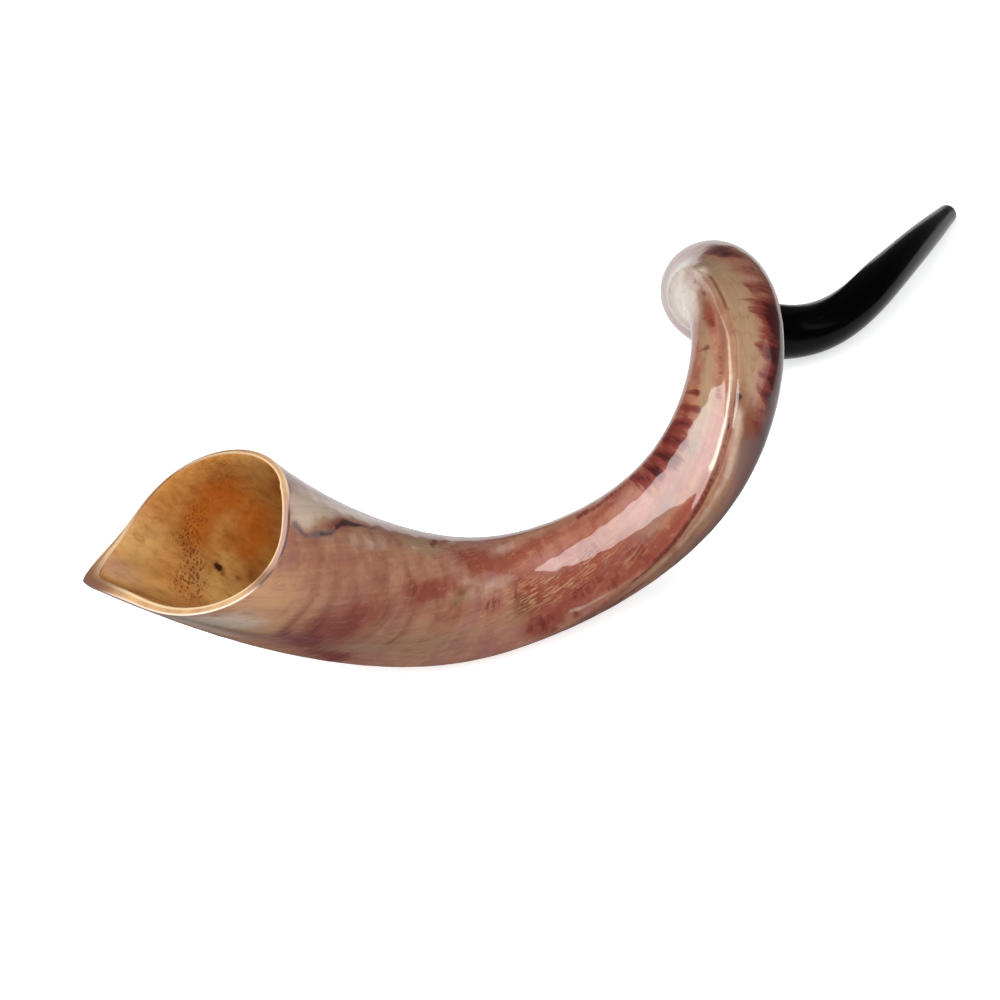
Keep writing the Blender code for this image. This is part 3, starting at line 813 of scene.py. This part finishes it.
def hollow_material():
    """The amber inside, porous where the bone core sat, and the paler sawn lip."""
    paint = Paint("amber_hollow")
    grain = paint.read("grain", vector=True)
    lip = paint.read("lip")
    clouds = paint.noise(paint.stretch(grain, (45, 70, 70)), detail=5, roughness=0.62, distortion=0.8)
    fine = paint.noise(paint.stretch(grain, (160, 380, 380)), detail=4, roughness=0.6)
    base = paint.mix(paint.span(clouds, 0.32, 0.68), colour(184, 126, 62), colour(162, 96, 40))
    # Ochre is partly the amber's own colour and partly painted light; the deep layer is painted shade,
    # darker to one side of the mouth and further in.
    base = paint.lay("ochre", 0.85, base, colour(196, 150, 88))
    base = paint.lay("umber", 0.9, base, colour(104, 62, 36))
    deep = paint.torn(clouds, 0.8, paint.read("deep"))
    base = paint.mix(paint.span(deep, 0.15, 1.1, 0.0, 0.85), base, colour(176, 90, 22))
    base = paint.lay("rose", 0.6, base, colour(150, 104, 92))
    curdled = paint.noise(paint.stretch(grain, (130, 190, 190)), detail=5, roughness=0.68, distortion=0.9)
    base = paint.mix(paint.span(curdled, 0.48, 0.72, 0.0, 0.45), base, colour(128, 74, 28))
    base = paint.mix(paint.span(curdled, 0.46, 0.26, 0.0, 0.35), base, colour(196, 144, 84))
    base = paint.mix(paint.span(fine, 0.42, 0.72, 0.0, 0.35), base, colour(118, 62, 22))
    holes = paint.cells(paint.stretch(grain, (680, 680, 680)))
    pitted = paint.math("MULTIPLY", paint.span(holes, 0.52, 0.26), paint.span(fine, 0.26, 0.46))
    pitted = paint.math("MULTIPLY", pitted, paint.read("pores"), clamp=True)
    base = paint.mix(paint.math("MULTIPLY", pitted, 0.80), base, colour(120, 60, 18))
    base = paint.lay("spot", 0.95, base, colour(52, 20, 8))

    # "lip" rises from 0 in the hollow to a half at the lip's inner edge and 1 at its outer edge.
    # A cream line along the lip's inner edge is a painted highlight.
    base = paint.mix(paint.span(lip, 0.12, 0.42), base, colour(208, 180, 140))
    sawn = paint.noise(paint.stretch(grain, (60, 130, 130)), detail=4)
    face = paint.mix(paint.span(sawn, 0.35, 0.65), colour(184, 146, 102), colour(164, 122, 88))
    face = paint.lay("rose", 0.9, face, colour(162, 128, 118))
    base = paint.mix(paint.span(lip, 0.60, 0.68), base, face)
    dark = paint.math("MULTIPLY", paint.read("umber"), paint.span(lip, 0.2, 0.8, 0.5, 0.95), clamp=True)
    base = paint.mix(paint.math("MULTIPLY", dark, paint.span(lip, 0.08, 0.20)), base, colour(106, 70, 50))
    edge = paint.mix(paint.math("ADD", paint.read("rose"), paint.read("umber"), clamp=True),
                     colour(206, 178, 156), colour(92, 66, 60))
    base = paint.mix(paint.span(lip, 0.86, 0.93), base, edge)
    sunk = paint.math("MULTIPLY_ADD", pitted, -1.0, paint.math("MULTIPLY", fine, 0.4))
    normal = paint.bump(sunk, 0.0004, 0.6)
    return paint.finish(base, normal, Roughness=0.40, Specular_IOR_Level=0.35, Coat_Weight=0.45,
                        Coat_Roughness=0.12, Coat_IOR=1.5)


def tip_material():
    """Solid black horn with a polished, faintly brown end."""
    paint = Paint("black_horn_polish")
    grain = paint.read("grain", vector=True)
    along = paint.read("along")
    fibres = paint.noise(paint.stretch(grain, (20, 620, 620)), detail=4, roughness=0.6)
    clouds = paint.noise(paint.stretch(grain, (30, 90, 90)), detail=3)
    base = paint.mix(paint.span(fibres, 0.45, 0.75), colour(1, 1, 1), colour(7, 5, 6))
    base = paint.mix(paint.math("MULTIPLY", paint.span(along, 0.955, 0.995), 0.6), base, colour(10, 6, 5))
    base = paint.mix(paint.span(clouds, 0.58, 0.75, 0.0, 0.30), base, colour(26, 14, 10))
    normal = paint.bump(fibres, 0.00006, 0.5)
    roughness = paint.span(clouds, 0.35, 0.65, 0.13, 0.19)
    return paint.finish(base, normal, Roughness=roughness, Specular_IOR_Level=0.09)


# ---------------------------------------------------------------- stage, light and camera

MIDDLE = np.array([0.0, 0.0, 0.07])
WHITE = (1, 1, 1, 1)
COOL_WHITE = (0.95, 0.98, 1.0)
# Soft boxes: (name, azimuth, elevation, distance, width, height, watts).
SOFT_BOXES = (
    ("key_softbox", -156, 41, 1.5, 2.0, 1.15, 46),
    ("fill_softbox", -60, 35, 2.6, 1.6, 1.2, 6),
)
CAMERA_PLACE = (-0.7700, -0.6948, 0.6605)
CAMERA_ELEVATION = 32.954
CAMERA_AZIMUTH = -132.950
CAMERA_LENS_MM = 86.4
# What lights the scene from all round is dark above and bright below, but not straight below. Each fade
# is by height of direction: (where it starts, where it ends, strength before it, strength after it).
ROOM_FADE = (-0.16, 0.02, 1.0, 0.07)
SHADE_FADE = (-0.95, -0.78, 0.15, 1.0)
FLOOR_SIZE = 60
FLOOR_GLOW = 0.6
BACKDROP_RADIUS = 14.0
BACKDROP_HEIGHT = 12.0
# Two sheets just under the floor, which the camera doesn't see. One is what the gloss reflects: its glow is
# painted bright on one side of the horn, given as a direction in degrees, and dark on the other as a
# painted shadow of the horn, with a fade as above but by place in metres. The other throws light up onto
# the horn.
SHEET_SIZE = 3.0
SHEET_DEPTHS = (0.0002, 0.0004)
BRIGHT_SIDE = 47.0
TABLE_FADE = (-0.10, 0.08, 0.03, 0.80)
BOUNCE_STRENGTH = 0.65


def area_light(name, azimuth, elevation, distance, width, height, power):
    """A soft box that looks at the middle of the horn, placed by its direction in degrees."""
    a, e = math.radians(azimuth), math.radians(elevation)
    out = np.array([math.cos(a) * math.cos(e), math.sin(a) * math.cos(e), math.sin(e)])
    made = bpy.data.lights.new(name, "AREA")
    made.shape = "RECTANGLE"
    made.size, made.size_y = width, height
    made.energy = power
    made.color = COOL_WHITE
    lamp = bpy.data.objects.new(name, made)
    lamp.location = MIDDLE + out * distance
    lamp.rotation_euler = (math.pi / 2 - e, 0, a + math.pi / 2)
    lamp.visible_camera = False
    bpy.context.scene.collection.objects.link(lamp)


def flat_sheet(name, size, depth, material):
    """A level square sheet that casts no shadow, as deep under the floor line as asked."""
    bpy.ops.mesh.primitive_grid_add(x_subdivisions=8, y_subdivisions=8, size=size, location=(0, 0, -depth))
    sheet = bpy.context.object
    sheet.name = name
    sheet.visible_shadow = False
    sheet.data.materials.append(material)
    return sheet


def pale_surroundings():
    """The floor and backdrop that the camera sees."""
    paint = Paint("pale_floor_matt")
    paint.finish(colour(240, 240, 240), Roughness=0.9, Specular_IOR_Level=0.0,
                 Emission_Color=WHITE, Emission_Strength=FLOOR_GLOW)
    floor = flat_sheet("pale_floor", FLOOR_SIZE, 0, paint.material)
    bpy.ops.mesh.primitive_cylinder_add(vertices=96, radius=BACKDROP_RADIUS, depth=BACKDROP_HEIGHT,
                                        end_fill_type="NOTHING", location=(0, 0, 0))
    backdrop = bpy.context.object
    backdrop.name = "pale_backdrop"
    backdrop.visible_shadow = False
    backdrop.data.materials.append(paint.material)
    for surface in (floor, backdrop):
        surface.visible_glossy = False
        surface.visible_diffuse = False


def hidden_sheets():
    """The table that the gloss reflects, with the horn's shadow painted into its glow, and the sheet that
    lights the horn from below.
    """
    matt = Paint("table_with_painted_shadow_glow")
    where = matt.parts(matt.node("ShaderNodeTexCoord").outputs["Object"])
    toward = math.radians(BRIGHT_SIDE)
    sideways = matt.math("MULTIPLY", where[1], math.sin(toward))
    across = matt.math("MULTIPLY_ADD", where[0], math.cos(toward), sideways)
    matt.finish(colour(66, 66, 66), Roughness=0.9, Specular_IOR_Level=0.0, Emission_Color=WHITE,
                Emission_Strength=matt.span(across, *TABLE_FADE))
    table = flat_sheet("table_with_painted_shadow", SHEET_SIZE, SHEET_DEPTHS[0], matt.material)
    table.visible_camera = False
    table.visible_diffuse = False

    glow = Paint("bounce_sheet_matt")
    glow.finish(colour(0, 0, 0), Roughness=1.0, Specular_IOR_Level=0.0, Emission_Color=WHITE,
                Emission_Strength=BOUNCE_STRENGTH)
    bounce = flat_sheet("bounce_sheet", SHEET_SIZE, SHEET_DEPTHS[1], glow.material)
    bounce.visible_camera = False
    bounce.visible_glossy = False


def light_from_all_round():
    """Soft light from all round, shaded only by its height."""
    world = bpy.data.worlds.new("soft_studio")
    bpy.context.scene.world = world
    world.use_nodes = True
    nodes, links = world.node_tree.nodes, world.node_tree.links
    where = nodes.new("ShaderNodeTexCoord")
    split = nodes.new("ShaderNodeSeparateXYZ")
    links.new(where.outputs["Generated"], split.inputs[0])
    shares = []
    for low, high, bottom, top in (ROOM_FADE, SHADE_FADE):
        ramp = nodes.new("ShaderNodeMapRange")
        ramp.interpolation_type = "SMOOTHSTEP"
        for value, socket in zip((low, high, bottom, top), ramp.inputs[1:5]):
            socket.default_value = value
        links.new(split.outputs["Z"], ramp.inputs[0])
        shares.append(ramp.outputs[0])
    both = nodes.new("ShaderNodeMath")
    both.operation = "MULTIPLY"
    links.new(shares[0], both.inputs[0])
    links.new(shares[1], both.inputs[1])
    background = nodes["Background"]
    background.inputs["Color"].default_value = WHITE
    links.new(both.outputs[0], background.inputs["Strength"])


def photo_camera():
    """The photograph's viewpoint, and plain colours without a film look."""
    bpy.context.scene.view_settings.view_transform = "Standard"
    camera = bpy.data.objects.new("photo_camera", bpy.data.cameras.new("photo_camera"))
    camera.data.lens = CAMERA_LENS_MM
    camera.data.sensor_width = 36
    camera.location = CAMERA_PLACE
    camera.rotation_euler = (math.radians(90 - CAMERA_ELEVATION), 0, math.radians(CAMERA_AZIMUTH + 90))
    bpy.context.scene.collection.objects.link(camera)
    bpy.context.scene.camera = camera


def dress(piece, node, slot, *materials):
    """Give a piece its materials, attach it to the root body, and hide the CAD node that it stands for. The
    slot is not used.
    """
    for one in materials:
        piece.data.materials.append(one)
    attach(piece, "root")
    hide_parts(node)


spine = Spine()
dress(horn_piece(spine), "horn_body", "marbled_horn", skin_material(), hollow_material())
dress(tip_piece(spine), "black_tip", "black_horn", tip_material())

pale_surroundings()
hidden_sheets()
light_from_all_round()
for soft_box in SOFT_BOXES:
    area_light(*soft_box)
photo_camera()
